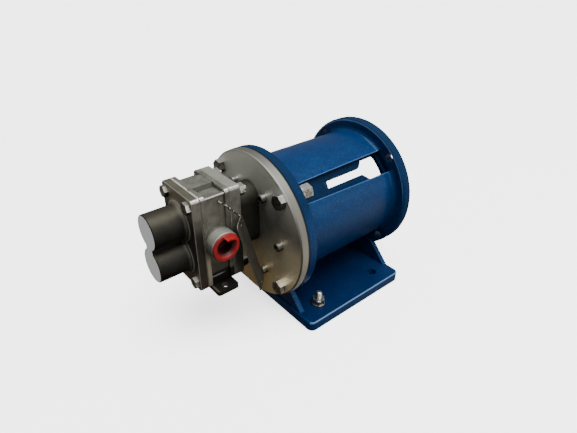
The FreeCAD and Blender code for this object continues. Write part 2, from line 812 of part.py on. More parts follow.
def make_magnets():
    """Eight curved magnets between the hub's rims."""
    x0 = hub_front_x + hub_rim_width
    x1 = hub_rear_x - hub_rim_width
    shell = ring_x(hub_radius + magnet_thickness, hub_radius, x0, x1)
    step = 360.0 / magnet_count
    gap = 2 * hub_radius * math.sin(math.radians(magnet_spacing_deg / 2))
    wall_top = drive_z + hub_radius + magnet_thickness + overcut
    for k in range(magnet_count):
        wall = block(x0 - overcut, x1 + overcut, -gap / 2, gap / 2, drive_z, wall_top)
        wall.rotate(V(0, 0, drive_z), X_AXIS, step * k)
        shell = shell.cut(wall)
    return shell


def make_magnet_sleeve():
    """Thin sleeve over the magnets."""
    rim = hub_radius + magnet_thickness
    return ring_x(rim + sleeve_wall, rim, hub_front_x, hub_rear_x)


def make_hub_bolt():
    """Hex bolt that clamps the hub and its washer to the end of the shaft."""
    seat = hub_rear_x + hub_washer_thickness
    head = hex_prism_x(hex_quarter[0], -seat - hex_quarter[1], -seat, 0, drive_z)
    head = head.mirror(V(0, 0, 0), X_AXIS)
    return fused([head, cyl_x(hub_bolt_radius, hub_rear_x - hub_bolt_depth, seat + overcut)])


def make_can():
    """Containment can: a thin cup behind the plate, with a flange for its screws."""
    front = ring_front_x
    back = ring_front_x + can_flange_thickness
    end = back + can_length
    r_out = can_radius
    r_in = can_radius - can_wall
    c = can_corner_chamfer
    ci = c - can_wall
    outline = [
        (front, r_in),
        (front, tube_bore_radius - can_flange_gap),
        (back, tube_bore_radius - can_flange_gap),
        (back, r_out),
        (end - c, r_out),
        (end, r_out - c),
        (end, 0.0),
        (end - can_wall, 0.0),
        (end - can_wall, r_in - ci),
        (end - c, r_in),
    ]
    can = revolved_x(outline)
    return can.cut(holes_x(quarter_inch / 2, front, back, can_screw_places))


def socket_screw(x_seat, length, y, z, radius, head_radius, head_height, towards=1):
    """Socket head cap screw whose shank runs along X from its seat, away from the head."""
    r = socket_edge_chamfer
    outline = [
        (-head_height, 0.0),
        (-head_height, head_radius - r),
        (-head_height + r, head_radius),
        (0.0, head_radius),
        (0.0, radius),
        (length, radius),
        (length, 0.0),
    ]
    screw = revolved_x(outline, 0.0, 0.0)
    share = head_radius / socket_head_radius
    key_end = -head_height + socket_depth * share
    key = hex_prism_x(2 * socket_radius * share, -head_height - overcut, key_end, 0.0, 0.0)
    screw = screw.cut(key)
    if towards < 0:
        screw = screw.mirror(V(0, 0, 0), X_AXIS)
    screw.translate(V(x_seat, y, z))
    return screw


def make_can_screws():
    """Cap screws through the plate into the can's flange."""
    length = plate_thickness + can_flange_thickness - can_screw_end_gap
    return Part.makeCompound([socket_screw(plate_front_x, length, y, z, quarter_inch / 2, socket_head_radius,
                                           socket_head_height) for y, z in can_screw_places])


def make_neck_screws():
    """Four cap screws from the back of the plate into the neck."""
    grip = plate_thickness - neck_screw_head_height - neck_screw_sink
    length = grip + neck_screw_depth - neck_screw_end_gap
    seat = ring_front_x - neck_screw_head_height - neck_screw_sink
    return Part.makeCompound([socket_screw(seat, length, y, z, neck_screw_radius, neck_screw_head_radius,
                                           neck_screw_head_height, -1) for y, z in neck_screw_places])


def hex_bolt_x(sizes, diameter, x_seat, length, y, z, turn):
    """Hex bolt with its head on the -X side of its seat."""
    head = hex_prism_x(sizes[0], x_seat - sizes[1], x_seat, y, z, turn)
    return fused([head, cyl_x(diameter / 2, x_seat - sizes[1] / 2, x_seat + length, y, z)])


def make_plate_bolts():
    """Four hex bolts through plate and pedestal ring."""
    nut_stack = washer_three_eighths[1] + hex_three_eighths[2]
    length = plate_thickness + ring_thickness + nut_stack + plate_thread_end
    return Part.makeCompound([hex_bolt_x(hex_three_eighths, three_eighths, plate_front_x, length, y, z, turn)
                              for (y, z), turn in zip(plate_bolt_places, plate_bolt_turns)])


def make_plate_washers():
    """Washers behind the pedestal ring."""
    x1 = ring_rear_x + washer_three_eighths[1]
    return Part.makeCompound([ring_x(washer_three_eighths[0], three_eighths / 2, ring_rear_x, x1, y, z)
                              for y, z in plate_bolt_places])


def make_plate_nuts():
    """Nuts in the front ends of the windows."""
    x0 = ring_rear_x + washer_three_eighths[1]
    x1 = x0 + hex_three_eighths[2]
    return Part.makeCompound([nut_x(hex_three_eighths[0], x0, x1, y, z, three_eighths / 2, plate_nut_turn)
                              for y, z in plate_bolt_places])


def make_casing_bolts():
    """Four hex bolts through cover, body and rear cover."""
    grip = cover_thickness + body_length + rear_cover_thickness
    length = grip + washer_quarter[1] + hex_quarter[2] + casing_thread_end
    return Part.makeCompound([hex_bolt_x(hex_quarter, quarter_inch, cover_front_x, length, y, z, turn)
                              for (y, z), turn in zip(casing_bolt_places, casing_bolt_turns)])


def make_casing_washers():
    """Washers behind the rear cover."""
    x1 = neck_front_x + washer_quarter[1]
    return Part.makeCompound([ring_x(washer_quarter[0], quarter_inch / 2, neck_front_x, x1, y, z)
                              for y, z in casing_bolt_places])


def make_casing_nuts():
    """Nuts behind the rear cover."""
    x0 = neck_front_x + washer_quarter[1]
    x1 = x0 + hex_quarter[2]
    return Part.makeCompound([nut_x(hex_quarter[0], x0, x1, y, z, quarter_inch / 2, casing_nut_turn)
                              for y, z in casing_bolt_places])


def make_dowels(x_joint):
    """Two dowels across one joint face."""
    half = dowel_length / 2 - dowel_end_gap
    return Part.makeCompound([cyl_x(dowel_radius, x_joint - half, x_joint + half, y, z)
                              for y, z in dowel_places])


def make_bearing(x0, z_axis):
    """Plain carbon bearing."""
    return ring_x(bearing_radius, shaft_radius + bearing_gap, x0, x0 + bearing_length, 0, z_axis)


def make_wear_plate(x0):
    """Figure-eight plate between the gear faces and a cover."""
    x1 = x0 + wear_plate_thickness
    discs = [cyl_x(wear_plate_radius, x0, x1, 0, z) for z in (drive_z, idler_z)]
    plate = fused(discs)
    return plate.cut(holes_x(wear_plate_hole_radius, x0, x1, [(0, drive_z), (0, idler_z)]))


def make_port_plug():
    """Hollow tapered plug with a rim and a pull tab."""
    face = -boss_reach
    outer = port_radius - plug_gap
    inner = outer - plug_wall
    barrel = Part.makeCone(outer, outer - plug_taper, plug_length, V(body_middle_x, face, casing_z), Y_AXIS)
    rim = cyl_y(plug_rim_radius, face - plug_rim_thickness, face, body_middle_x, casing_z)
    front = face - plug_rim_thickness
    edge = [e for e in rim.Edges if e.Closed and abs(e.CenterOfMass.y - front) < same_place]
    rim = rim.makeChamfer(plug_rim_chamfer, edge)
    hollow = Part.makeCone(inner, inner - plug_taper, plug_length - plug_wall + plug_rim_thickness + overcut,
                           V(body_middle_x, face - plug_rim_thickness - overcut, casing_z), Y_AXIS)
    mouth = Part.makeCone(plug_mouth_radius, inner - plug_taper, plug_mouth_depth,
                          V(body_middle_x, face - plug_rim_thickness, casing_z), Y_AXIS)
    plug = fused([barrel, rim]).cut([hollow, mouth])
    tab_radius = plug_rim_radius - plug_rim_chamfer - plug_tab_inset
    y0 = front - plug_tab_out
    y1 = front + plug_rim_chamfer
    tab = cyl_y(tab_radius, y0, y1, body_middle_x, casing_z)
    tab = tab.cut(cyl_y(tab_radius - plug_tab_wall, y0, y1, body_middle_x, casing_z))
    corners = [V(body_middle_x, y0, casing_z)]
    for angle in plug_tab_span_deg:
        across = 2 * plug_rim_radius * math.cos(math.radians(angle))
        rise = 2 * plug_rim_radius * math.sin(math.radians(angle))
        corners.append(V(body_middle_x + across, y0, casing_z + rise))
    sector = polygon_face(corners)
    tab = tab.common(sector.extrude(V(0, y1 - y0, 0)))
    return fused([plug, tab])


def tag_place():
    """Place of the tag's own frame: origin at the top of its hole, X across it, Z up along it."""
    turn = FreeCAD.Rotation(Z_AXIS, tag_turn_deg)
    tilt = FreeCAD.Rotation(X_AXIS, -tag_tilt_deg)
    lean = FreeCAD.Rotation(Y_AXIS, -tag_lean_deg)
    return FreeCAD.Placement(V(tag_top_x, tag_y, drive_z + tag_top_z), lean * tilt * turn)


def make_tag():
    """Flat metal tag that swings about the top of its hole."""
    half = tag_width / 2
    top = tag_hole_inset - tag_hole_radius
    low = top - tag_length
    back = -tag_thickness / 2
    points = [V(-half, back, low), V(half, back, low), V(half, back, top), V(-half, back, top)]
    plate = polygon_face(points).extrude(V(0, tag_thickness, 0))
    corners = [e for e in plate.Edges if abs(e.tangentAt(e.FirstParameter).y) > along]
    plate = plate.makeFillet(tag_end_round, corners)
    hole = cyl_y(tag_hole_radius, back - overcut, overcut - back, 0, -tag_hole_radius)
    small = cyl_y(tag_small_hole_radius, back - overcut, overcut - back, 0, low + tag_hole_inset)
    plate = plate.cut([hole, small])
    plate.Placement = tag_place()
    return plate


def rounded_path(points, radius):
    """Straight runs joined by arcs that touch both runs."""
    edges = []
    start = points[0]
    for k in range(1, len(points) - 1):
        before = (points[k - 1] - points[k]).normalize()
        after = (points[k + 1] - points[k]).normalize()
        half = before.getAngle(after) / 2
        back_off = radius / math.tan(half)
        a = points[k] + before * back_off
        b = points[k] + after * back_off
        bisector = (before + after).normalize()
        middle = points[k] + bisector * (radius / math.sin(half) - radius)
        edges.append(Part.LineSegment(start, a).toShape())
        edges.append(Part.Arc(a, middle, b).toShape())
        start = b
    edges.append(Part.LineSegment(start, points[-1]).toShape())
    return Part.Wire(edges)


def swept_wire(points, radius, bend):
    """Round wire along straight runs and arcs."""
    path = rounded_path(points, bend)
    start_direction = (points[1] - points[0]).normalize()
    profile = Part.Wire(Part.makeCircle(radius, points[0], start_direction))
    return Part.Solid(path.makePipeShell([profile], True, False))


def make_tag_wire():
    """Twisted pair from a hole under the body's lip, ending in a single hook through the tag's hole."""
    place = tag_place()
    drop = hook_radius + tag_hang_gap
    z0 = drive_z + wire_start_z
    pair_start = V(wire_start_x, -body_half_width + wire_hole_depth, z0)
    pair_turn = V(wire_start_x, -casing_half_width - pair_out, z0)
    pair_end = place.multVec(V(0, -hook_reach, pair_end_rise))
    hook = [pair_end, place.multVec(V(0, -hook_reach, -drop)), place.multVec(V(0, hook_tail, -drop))]
    pair = swept_wire([pair_start, pair_turn, pair_end], wire_radius, wire_bend)
    return fused([pair, swept_wire(hook, hook_radius, hook_bend)])


def make_base_stud():
    """Threaded stud that stands up out of the near front base hole, held by its nut."""
    top = base_thickness + base_stud_stand
    place = V(-base_hole_dx / 2, -base_hole_dy / 2, base_stud_low)
    stud = Part.makeCylinder(five_sixteenths / 2, top - base_stud_low, place)
    rim = [e for e in stud.Edges if e.Closed and abs(e.CenterOfMass.z - top) < same_place]
    return stud.makeChamfer(base_stud_chamfer, rim)


def make_base_nut():
    """Nut on the stud, resting on its washer."""
    seat = base_thickness + base_washer[1]
    flats, height = hex_five_sixteenths
    nut = nut_x(flats, seat, seat + height, 0, 0, five_sixteenths / 2, base_nut_turn)
    nut.rotate(V(0, 0, 0), Y_AXIS, -90.0)
    nut.translate(V(-base_hole_dx / 2, -base_hole_dy / 2, 0))
    return nut


def make_base_washer():
    """Washer between the nut and the base."""
    top = base_thickness + base_washer[1]
    washer = ring_x(base_washer[0], five_sixteenths / 2, base_thickness, top, 0, 0)
    washer.rotate(V(0, 0, 0), Y_AXIS, -90.0)
    washer.translate(V(-base_hole_dx / 2, -base_hole_dy / 2, 0))
    return washer


pieces = {
    "pedestal": make_pedestal(),
    "adapter_plate": make_adapter_plate(),
    "front_cover": make_front_cover(),
    "pump_body": make_pump_body(),
    "rear_cover": make_rear_cover(),
    "front_seal_ring": seal_groove(body_front_x - seal_depth, body_front_x),
    "rear_seal_ring": seal_groove(body_rear_x, body_rear_x + seal_depth),
    "front_wear_plate": make_wear_plate(body_front_x),
    "rear_wear_plate": make_wear_plate(body_rear_x - wear_plate_thickness),
    "front_drive_bearing": make_bearing(body_front_x - bearing_length, drive_z),
    "front_idler_bearing": make_bearing(body_front_x - bearing_length, idler_z),
    "rear_drive_bearing": make_bearing(body_rear_x, drive_z),
    "rear_idler_bearing": make_bearing(body_rear_x, idler_z),
    "drive_gear": make_gear(drive_z, 90.0),
    "idler_gear": make_gear(idler_z, 90.0 + 180.0 / teeth),
    "drive_gear_key": gear_key(drive_z),
    "idler_gear_key": gear_key(idler_z),
    "drive_gear_clips": retaining_clips(drive_z),
    "idler_gear_clips": retaining_clips(idler_z),
    "drive_shaft": make_drive_shaft(),
    "idler_shaft": make_idler_shaft(),
    "magnet_hub": make_magnet_hub(),
    "magnet_hub_key": hub_key_block(),
    "inner_magnets": make_magnets(),
    "magnet_sleeve": make_magnet_sleeve(),
    "hub_washer": ring_x(hub_washer_radius, hub_bolt_radius, hub_rear_x, hub_rear_x + hub_washer_thickness),
    "hub_bolt": make_hub_bolt(),
    "containment_can": make_can(),
    "can_seal_ring": ring_x(can_seal_radius + can_seal_width, can_seal_radius, ring_front_x - can_seal_depth,
                            ring_front_x),
    "can_screws": make_can_screws(),
    "neck_screws": make_neck_screws(),
    "plate_bolts": make_plate_bolts(),
    "plate_washers": make_plate_washers(),
    "plate_nuts": make_plate_nuts(),
    "casing_bolts": make_casing_bolts(),
    "casing_washers": make_casing_washers(),
    "casing_nuts": make_casing_nuts(),
    "front_dowels": make_dowels(body_front_x),
    "rear_dowels": make_dowels(body_rear_x),
    "port_plug": make_port_plug(),
    "tag": make_tag(),
    "tag_wire": make_tag_wire(),
    "base_stud": make_base_stud(),
    "base_nut": make_base_nut(),
    "base_washer": make_base_washer(),
}

for name, shape in pieces.items():
    shape.exportStep("parts/" + name + ".step")
    box = shape.BoundBox
    print(name, len(shape.Solids), shape.isValid(), round(shape.Volume, 1),
          [round(v, 1) for v in (box.XMin, box.XMax, box.YMin, box.YMax, box.ZMin, box.ZMax)])
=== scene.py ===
import json
import math
import bpy
import numpy as np
from mathutils import Matrix, Vector


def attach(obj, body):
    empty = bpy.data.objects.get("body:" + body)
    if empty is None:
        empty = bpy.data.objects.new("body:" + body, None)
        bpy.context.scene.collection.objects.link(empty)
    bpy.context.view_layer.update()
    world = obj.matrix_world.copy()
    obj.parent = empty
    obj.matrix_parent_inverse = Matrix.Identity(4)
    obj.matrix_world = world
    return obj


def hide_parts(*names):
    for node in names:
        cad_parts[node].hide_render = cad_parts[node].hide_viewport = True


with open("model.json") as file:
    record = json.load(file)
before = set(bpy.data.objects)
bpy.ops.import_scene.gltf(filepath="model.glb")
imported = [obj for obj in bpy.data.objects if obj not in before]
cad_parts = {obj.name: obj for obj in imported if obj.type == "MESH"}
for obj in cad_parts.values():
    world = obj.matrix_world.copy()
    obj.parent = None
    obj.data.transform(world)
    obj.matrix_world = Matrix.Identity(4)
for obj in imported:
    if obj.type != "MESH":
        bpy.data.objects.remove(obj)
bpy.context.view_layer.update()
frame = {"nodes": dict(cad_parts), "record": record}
nodes = frame["nodes"]
MM = 0.001
white = (1.0, 1.0, 1.0)

# Planes across the shaft, in millimetres from the middle of the base's holes towards the motor
nose_tip_x = -205.5
cover_front_x = -171.0
cover_back_x = -162.0
body_flange_end_x = -156.8
body_back_x = -130.5
neck_start_x = -118.5
plate_front_x = -88.0
ring_front_x = -78.5
ring_back_x = -66.5
flange_front_x = 70.5

# Heights over the floor, in millimetres
base_top_z = 12.0
foot_top_z = 69.6
shaft_z = 101.6
casing_top_z = 172.65

# Radii about the shaft and half widths, in millimetres
tube_radius = 68.5
ring_radius = 85.0
casing_half_width = 29.0

# A window pocket's half width at its front end, and what it gains with each millimetre towards the motor
pocket_front_half_width = 11.0
pocket_widening = 0.0182

# The hole in each foot, in millimetres
foot_hole_x = -146.25
foot_hole_y = 34.5
foot_hole_radius = 3.3


class Channel:
    """A number on its way through a material, with ordinary arithmetic."""

    def __init__(self, tree, socket):
        self.tree = tree
        self.socket = socket

    def node(self, operation, *others):
        """Any math node, with this number as its first input."""
        made = self.tree.nodes.new("ShaderNodeMath")
        made.operation = operation
        for place, item in enumerate((self,) + others):
            feed(self.tree, item, made.inputs[place])
        return Channel(self.tree, made.outputs[0])

    def constant(self, number):
        """A plain number as a channel of the same material."""
        made = self.tree.nodes.new("ShaderNodeValue")
        made.outputs[0].default_value = number
        return Channel(self.tree, made.outputs[0])

    def __add__(self, other):
        return self.node("ADD", other)

    def __sub__(self, other):
        return self.node("SUBTRACT", other)

    def __rsub__(self, other):
        return self.constant(other).node("SUBTRACT", self)

    def __mul__(self, other):
        return self.node("MULTIPLY", other)

    def __truediv__(self, other):
        return self.node("DIVIDE", other)

    def __abs__(self):
        return self.node("ABSOLUTE")

    __radd__ = __add__

    def step(self, low, high):
        """0 below low, 1 above high, smooth between. low above high turns it round."""
        made = self.tree.nodes.new("ShaderNodeMapRange")
        made.interpolation_type = "SMOOTHSTEP"
        feed(self.tree, self, made.inputs["Value"])
        turned = low > high
        made.inputs["From Min"].default_value = min(low, high)
        made.inputs["From Max"].default_value = max(low, high)
        made.inputs["To Min"].default_value = 1.0 if turned else 0.0
        made.inputs["To Max"].default_value = 0.0 if turned else 1.0
        return Channel(self.tree, made.outputs["Result"])


def feed(tree, item, socket):
    """Links a channel to a socket, or sets a plain number on it."""
    if isinstance(item, Channel):
        tree.links.new(item.socket, socket)
    else:
        socket.default_value = item


def linear(red, green, blue):
    """A colour read from 0 to 255, as linear light."""
    parts = [value / 255 for value in (red, green, blue)]
    return [p / 12.92 if p <= 0.04045 else ((p + 0.055) / 1.055) ** 2.4 for p in parts] + [1.0]


class Finish:
    """A material under construction: places in millimetres, patterns, coats of colour and one bump chain."""

    def __init__(self, name):
        self.material = bpy.data.materials.new(name)
        self.material.use_nodes = True
        self.tree = self.material.node_tree
        self.shader = self.tree.nodes["Principled BSDF"]
        source = self.tree.nodes.new("ShaderNodeTexCoord")
        scaled = self.tree.nodes.new("ShaderNodeVectorMath")
        scaled.operation = "SCALE"
        scaled.inputs["Scale"].default_value = 1 / MM
        self.tree.links.new(source.outputs["Object"], scaled.inputs[0])
        self.place = scaled.outputs["Vector"]
        self.x, self.y, self.z = self.split(self.place)
        self.nx, self.ny, self.nz = self.split(source.outputs["Normal"])
        self.colour = None
        self.normal = None

    def split(self, vector):
        """The three numbers of a vector, as channels."""
        made = self.tree.nodes.new("ShaderNodeSeparateXYZ")
        self.tree.links.new(vector, made.inputs[0])
        return [Channel(self.tree, output) for output in made.outputs]

    def stretched(self, sx, sy, sz):
        """Places with each direction scaled, for grain that runs one way."""
        made = self.tree.nodes.new("ShaderNodeVectorMath")
        made.operation = "MULTIPLY"
        self.tree.links.new(self.place, made.inputs[0])
        made.inputs[1].default_value = (sx, sy, sz)
        return made.outputs["Vector"]

    def noise(self, size, detail=3.0, roughness=0.55, place=None):
        """Cloudy pattern from 0 to 1, with features about as large as size in millimetres."""
        made = self.tree.nodes.new("ShaderNodeTexNoise")
        self.tree.links.new(place or self.place, made.inputs["Vector"])
        made.inputs["Scale"].default_value = 1.0 / size
        made.inputs["Detail"].default_value = detail
        made.inputs["Roughness"].default_value = roughness
        return Channel(self.tree, made.outputs[0])

    def cells(self, size):
        """Distance to the nearest of many scattered points, for pits and specks."""
        made = self.tree.nodes.new("ShaderNodeTexVoronoi")
        self.tree.links.new(self.place, made.inputs["Vector"])
        made.inputs["Scale"].default_value = 1.0 / size
        return Channel(self.tree, made.outputs["Distance"])

    def slanted(self):
        """1 on bevels and rounds, 0 on faces that look straight along X, Y or Z."""
        largest = abs(self.nx).node("MAXIMUM", abs(self.ny)).node("MAXIMUM", abs(self.nz))
        return largest.step(0.97, 0.86)

    def shaft_distance(self):
        """Distance in millimetres from the shaft's axis."""
        rise = self.z - shaft_z
        return (self.y * self.y + rise * rise).node("SQRT")

    def two_tone(self, first, second, amount):
        """One colour turning into another, each a triple from 0 to 255 or a colour made before."""
        made = self.tree.nodes.new("ShaderNodeMix")
        made.data_type = "RGBA"
        feed(self.tree, amount, made.inputs[0])
        for item, socket in ((first, made.inputs[6]), (second, made.inputs[7])):
            if isinstance(item, bpy.types.NodeSocket):
                self.tree.links.new(item, socket)
            else:
                socket.default_value = linear(*item)
        return made.outputs[2]

    def coat(self, first, second, amount):
        """The first coat: two tones with a pattern between them."""
        self.colour = self.two_tone(first, second, amount)

    def over(self, tone, amount):
        """Another coat over what is there, 1 where it covers and 0 where it leaves the colour alone."""
        self.colour = self.two_tone(self.colour, tone, amount)

    def bump(self, height, depth_mm):
        """Adds one layer of relief to the chain."""
        made = self.tree.nodes.new("ShaderNodeBump")
        made.inputs["Strength"].default_value = 1.0
        made.inputs["Distance"].default_value = depth_mm * MM
        feed(self.tree, height, made.inputs["Height"])
        if self.normal is not None:
            self.tree.links.new(self.normal, made.inputs["Normal"])
        self.normal = made.outputs["Normal"]

    def done(self, roughness, metallic=0.0, gloss=0.5, gloss_tint=white):
        """Wires everything into the shader and returns the material."""
        self.tree.links.new(self.colour, self.shader.inputs["Base Color"])
        feed(self.tree, roughness, self.shader.inputs["Roughness"])
        feed(self.tree, metallic, self.shader.inputs["Metallic"])
        self.shader.inputs["Specular IOR Level"].default_value = gloss
        self.shader.inputs["Specular Tint"].default_value = gloss_tint + (1.0,)
        self.tree.links.new(self.normal, self.shader.inputs["Normal"])
        return self.material


def blue_paint():
    """Blue enamel over a sand casting: orange peel over slow waves, painted shade where little light falls,
    painted highlights along some edges.
    """
    f = Finish("blue_paint_on_casting")
    peel = f.noise(2.0, 3.0)
    waves = f.noise(18.0, 2.0)
    grain = f.noise(0.6, 2.0)
    r = f.shaft_distance()
    f.coat((2, 33, 72), (3, 38, 80), waves.step(0.35, 0.7))
    f.over((16, 58, 100), peel.step(0.52, 0.66) * 0.5)

    # Painted shade on the base's top under the tube, less of it towards the motor end
    shaded_base_top = f.nz.step(0.9, 0.98) * f.z.step(base_top_z + 2.0, base_top_z + 0.5)
    f.over((1, 14, 44), shaded_base_top * (0.72 - f.x.step(20.0, 72.0) * 0.3))
    behind_ring = f.x.step(ring_back_x, ring_back_x + 1.0)
    # Painted shade on the floors of the window pockets
    pocket = r.step(tube_radius - 0.9, tube_radius - 2.5) * behind_ring
    pocket = pocket * f.x.step(flange_front_x + 1.0, flange_front_x + 0.1)
    f.over((1, 12, 30), pocket * 0.7)

    # Painted shade on the upper rims of the ring and the motor flange, and on the flange's outer rim
    shaded_rim = (1, 16, 36)
    rim_start = 81.0
    shaded_upper_rims = r.step(rim_start, rim_start + 1.0) * f.nz.step(0.25, 0.6) * f.z.step(60.0, 80.0)
    f.over(shaded_rim, shaded_upper_rims * 0.6)
    shaded_flange_rim = r.step(rim_start, rim_start + 0.8) * f.x.step(flange_front_x + 1.0, flange_front_x + 2.0)
    shaded_flange_rim = shaded_flange_rim * (1.0 - shaded_upper_rims) * f.z.step(base_top_z + 2.0, base_top_z + 4.0)
    f.over(shaded_rim, shaded_flange_rim * 0.5)

    # Painted highlight along the motor flange's front edge
    flange_edge_highlight = r.step(rim_start - 1.4, rim_start - 0.9) * r.step(rim_start + 0.4, rim_start - 0.1)
    flange_edge_highlight = flange_edge_highlight * f.x.step(flange_front_x - 0.3, flange_front_x)
    flange_edge_highlight = flange_edge_highlight * f.x.step(flange_front_x + 1.4, flange_front_x + 1.0) * f.z.step(100.0, 130.0)
    f.over((110, 150, 190), flange_edge_highlight * 0.3)

    # The pockets lie on the diagonals through the shaft, so their rims are found by the distance from those.
    # The rims get a painted highlight.
    rise = f.z - shaft_z
    from_diagonal = abs(abs(f.y) - abs(rise)) * math.sqrt(0.5)
    beyond_pocket = from_diagonal - (f.x - ring_back_x) * pocket_widening - pocket_front_half_width
    outward = (f.ny * f.y + f.nz * rise) / r
    pocket_rim_highlight = beyond_pocket.step(1.3, 0.5) * beyond_pocket.step(-0.3, 0.0) * outward.step(0.8, 0.9)
    pocket_rim_highlight = pocket_rim_highlight * r.step(tube_radius - 0.5, tube_radius - 0.1)
    pocket_rim_highlight = pocket_rim_highlight * r.step(tube_radius + 0.7, tube_radius + 0.3) * behind_ring
    f.over((64, 108, 158), pocket_rim_highlight * 0.55)

    joint = f.x.step(ring_front_x + 2.3, ring_front_x + 1.3) * r.step(ring_radius - 3.0, ring_radius - 0.6)
    f.over((2, 8, 20), joint * 0.9)
    # Painted highlight along the rounds of the base's long top edges
    base_edge_highlight = f.slanted() * f.z.step(base_top_z - 2.6, base_top_z - 1.8)
    base_edge_highlight = base_edge_highlight * f.z.step(base_top_z + 0.2, base_top_z) * abs(f.y).step(80.0, 86.0)
    f.over((120, 156, 186), base_edge_highlight * abs(f.ny).step(0.25, 0.5) * 0.4)
    specks = f.cells(6.5).step(0.09, 0.05)
    f.over((80, 100, 120), specks * 0.25)
    f.bump(waves, 0.08)
    f.bump(peel, 0.34)
    f.bump(grain, 0.03)
    rough = 0.24 + peel * 0.14 + shaded_upper_rims * 0.5 + shaded_flange_rim * 0.5
    return f.done(rough, 0.0, 0.22, (0.42, 0.7, 1.0))


def machined_stainless():
    """Turned stainless: fine rings about the shaft on its face, soft smears, a painted warm reflection
    towards the bottom, painted light towards the top, painted shade on the bevel, painted sheen on the near
    half and painted light and shade round the outer edge.
    """
    f = Finish("machined_stainless")
    r = f.shaft_distance()
    turned = (r * 9.0 + f.noise(9.0) * 3.0).node("SINE")
    end_face = abs(f.nx).step(0.8, 0.95)
    smears = f.noise(20.0, 4.0, 0.6)
    fine = f.noise(0.8, 3.0, 0.6, f.stretched(0.3, 1.0, 1.0))
    f.coat((150, 149, 142), (128, 126, 118), smears.step(0.35, 0.7))
    # Painted warm reflection towards the bottom, painted light towards the top
    low = f.z.step(110.0, 30.0)
    f.over((206, 178, 124), low * 0.8)
    high = f.z.step(112.0, 168.0)
    f.over((230, 231, 224), high * 0.9)
    # Painted shade on the bevel
    bevel = r.step(ring_radius - 2.4, ring_radius - 1.5) * f.x.step(plate_front_x + 2.0, plate_front_x + 1.5)
    f.over((84, 80, 72), bevel * 0.7)
    # Painted sheen on the near half of the face
    near_half_sheen = f.y.step(-15.0, -72.0) * f.z.step(124.0, 96.0)
    f.over((234, 222, 190), near_half_sheen * end_face * 0.75)
    # Painted light where the outer band faces down, painted shade where it faces up
    rim = r.step(ring_radius - 0.8, ring_radius - 0.4) * f.x.step(plate_front_x + 1.4, plate_front_x + 1.8)
    f.over(f.two_tone((228, 224, 212), (74, 71, 62), f.nz.step(-0.5, 0.55)), rim * 0.85)
    seam = f.x.step(ring_front_x - 1.1, ring_front_x - 0.5) * r.step(ring_radius - 2.0, ring_radius - 0.4)
    f.over((24, 24, 26), seam * 0.8)
    f.bump(turned * end_face, 0.008)
    f.bump(fine, 0.015)
    return f.done(0.40 + smears * 0.14 + fine * 0.08, 0.9)


def front_cover_tones(f):
    """Dark nose barrels with painted light on their tops and painted shade below, a face with painted shade
    at its middle, painted light at its top and a painted warm reflection low down, painted shade on the top
    face and the lower sides, a painted highlight along the top's back edge.
    """
    # Dark nose barrels, with painted light on their tops and painted shade below
    nose = f.x.step(cover_front_x - 1.0, cover_front_x - 5.0)
    f.over(f.two_tone((10, 9, 7), (46, 42, 33), f.nz.step(0.3, 0.95)), nose * 0.92)
    # The cover's face: painted shade at its middle beside the barrels, painted light at its top, a painted
    # warm reflection low down
    face = f.x.step(cover_front_x + 1.0, cover_front_x + 0.2) * f.nx.step(-0.4, -0.8) * (1.0 - nose)
    face_light_and_shade = f.two_tone((34, 30, 25), (128, 120, 102), f.z.step(142.0, 160.0))
    f.over(f.two_tone(face_light_and_shade, (100, 84, 60), f.z.step(94.0, 78.0)), face * 0.85)
    # Painted shade on the cover's top face
    top = f.x.step(cover_back_x, cover_back_x - 0.6) * f.z.step(casing_top_z - 1.05, casing_top_z - 0.25)
    f.over((84, 79, 66), top * 0.75)
    # Painted highlight along the back edge of the top
    back_edge_highlight = f.x.step(cover_back_x - 1.4, cover_back_x - 1.0)
    back_edge_highlight = back_edge_highlight * f.x.step(cover_back_x + 0.8, cover_back_x + 0.4)
    f.over((232, 230, 222), back_edge_highlight * f.z.step(casing_top_z - 1.25, casing_top_z - 0.45) * 0.75)
    # Painted shade on the lower part of the cover's sides
    side = f.x.step(cover_back_x + 0.2, cover_back_x - 0.2) * f.z.step(158.0, 132.0)
    f.over((42, 35, 27), side * abs(f.y).step(casing_half_width - 0.4, casing_half_width - 0.1) * 0.9)


